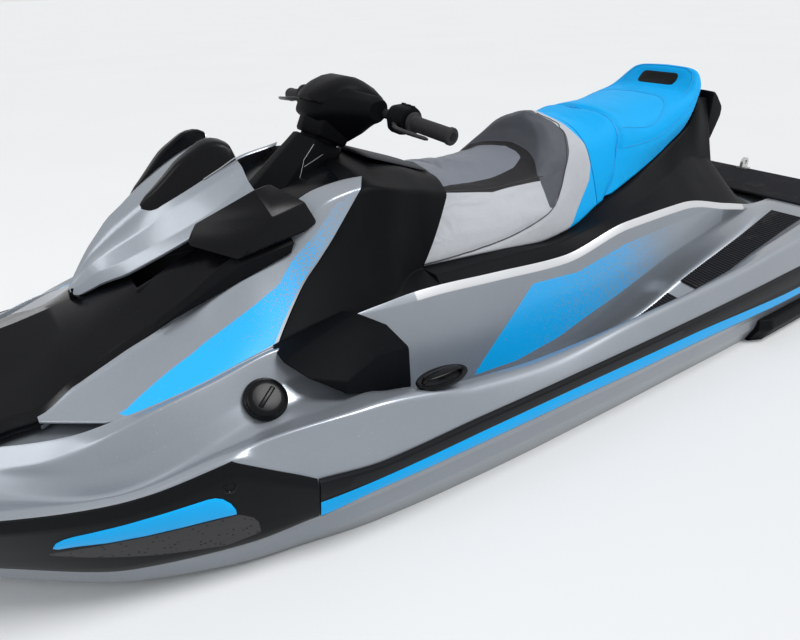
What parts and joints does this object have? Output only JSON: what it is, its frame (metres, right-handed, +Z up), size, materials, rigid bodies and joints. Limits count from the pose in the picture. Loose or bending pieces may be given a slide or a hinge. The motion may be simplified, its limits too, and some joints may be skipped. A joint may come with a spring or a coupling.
{
  "type": "personal watercraft",
  "caption": "Sit-on personal watercraft with a decked hull, stepped seat, handlebar, opening hood and a steered water-jet drive under the stern.",
  "frame": {"origin": "at the waterline, on the centreline, midway between bow and stern", "axes": "+X to the bow, +Y to port, +Z up"},
  "size_m": [3.35, 1.224, 1.1455],
  "materials": {
    "silver_gelcoat": "gloss",
    "black_trim": "satin",
    "black_gloss": "gloss",
    "blue_trim": "gloss",
    "grey_vinyl": "matte",
    "blue_vinyl": "matte",
    "rubber": "matte",
    "mirror": "polished",
    "painted_tube": "satin",
    "stainless_steel": "brushed",
    "cast_aluminium": "cast"
  },
  "bodies": {
    "craft": {"bow_bumper": "black_trim", "bow_cover": "black_trim", "bow_panels": "silver_gelcoat", "bumper_inserts": "blue_trim", "cleats": "black_gloss", "console": "black_trim", "deck": "silver_gelcoat", "drain_plugs": "black_trim", "engine": "cast_aluminium", "filler_cap": "black_trim", "footwell_mats": "rubber", "front_seat": "grey_vinyl", "grab_handle": "black_trim", "gunwale_left": "silver_gelcoat", "gunwale_right": "silver_gelcoat", "hull": "silver_gelcoat", "intake_grate": "cast_aluminium", "mooring_eyes": "stainless_steel", "pedestal": "silver_gelcoat", "pump_housing": "cast_aluminium", "rear_deck_mat": "rubber", "rear_seat": "blue_vinyl", "ride_plate": "cast_aluminium", "rub_rail": "black_trim", "seat_base": "black_trim", "splash_guards": "black_trim", "sponsons": "black_trim", "steering_column": "black_trim", "step_brackets": "stainless_steel", "storage_tub": "black_trim", "tow_hook": "stainless_steel"},
    "hood": {"hood": "silver_gelcoat", "hood_wings": "black_gloss", "mirror_pods": "black_gloss", "mirror_glass": "mirror"},
    "glove_lid": {"glove_box_lid": "black_gloss"},
    "handlebar": {"handlebar": "painted_tube", "handlebar_pod": "black_trim", "grips": "rubber", "switch_boxes": "black_trim", "levers": "black_gloss"},
    "steering_nozzle": {"steering_nozzle": "cast_aluminium"},
    "reverse_bucket": {"reverse_bucket": "cast_aluminium"},
    "impeller": {"impeller": "stainless_steel"},
    "reboarding_step": {"reboarding_step": "painted_tube"}
  },
  "joints": [
    {"name": "hood_hinge", "type": "hinge", "parent": "craft", "child": "hood", "pos_m": [0.955, 0, 0.484], "axis": [0, 1, 0], "range_deg": [0, 60]},
    {"name": "glove_lid_hinge", "type": "hinge", "parent": "craft", "child": "glove_lid", "pos_m": [0.268, 0, 0.698], "axis": [0, 1, 0], "range_deg": [0, 28]},
    {"name": "steering", "type": "hinge", "parent": "craft", "child": "handlebar", "pos_m": [0.41, 0, 0.64], "axis": [-0.6691, 0, 0.7431], "range_deg": [-22, 22]},
    {"name": "nozzle_swivel", "type": "hinge", "parent": "craft", "child": "steering_nozzle", "pos_m": [-1.42, 0, -0.13], "axis": [0, 0, 1], "range_deg": [-22, 22]},
    {"name": "bucket_hinge", "type": "hinge", "parent": "craft", "child": "reverse_bucket", "pos_m": [-1.42, 0, -0.13], "axis": [0, -1, 0], "range_deg": [0, 70]},
    {"name": "impeller_spin", "type": "hinge", "parent": "craft", "child": "impeller", "pos_m": [-1.1, 0, -0.13], "axis": [1, 0, 0], "continuous": true},
    {"name": "step_hinge", "type": "hinge", "parent": "craft", "child": "reboarding_step", "pos_m": [-1.63, 0, -0.14], "axis": [0, -1, 0], "range_deg": [0, 150]}
  ],
  "couplings": [
    {"joint": "nozzle_swivel", "follows": "steering", "ratio": -1}
  ]
}
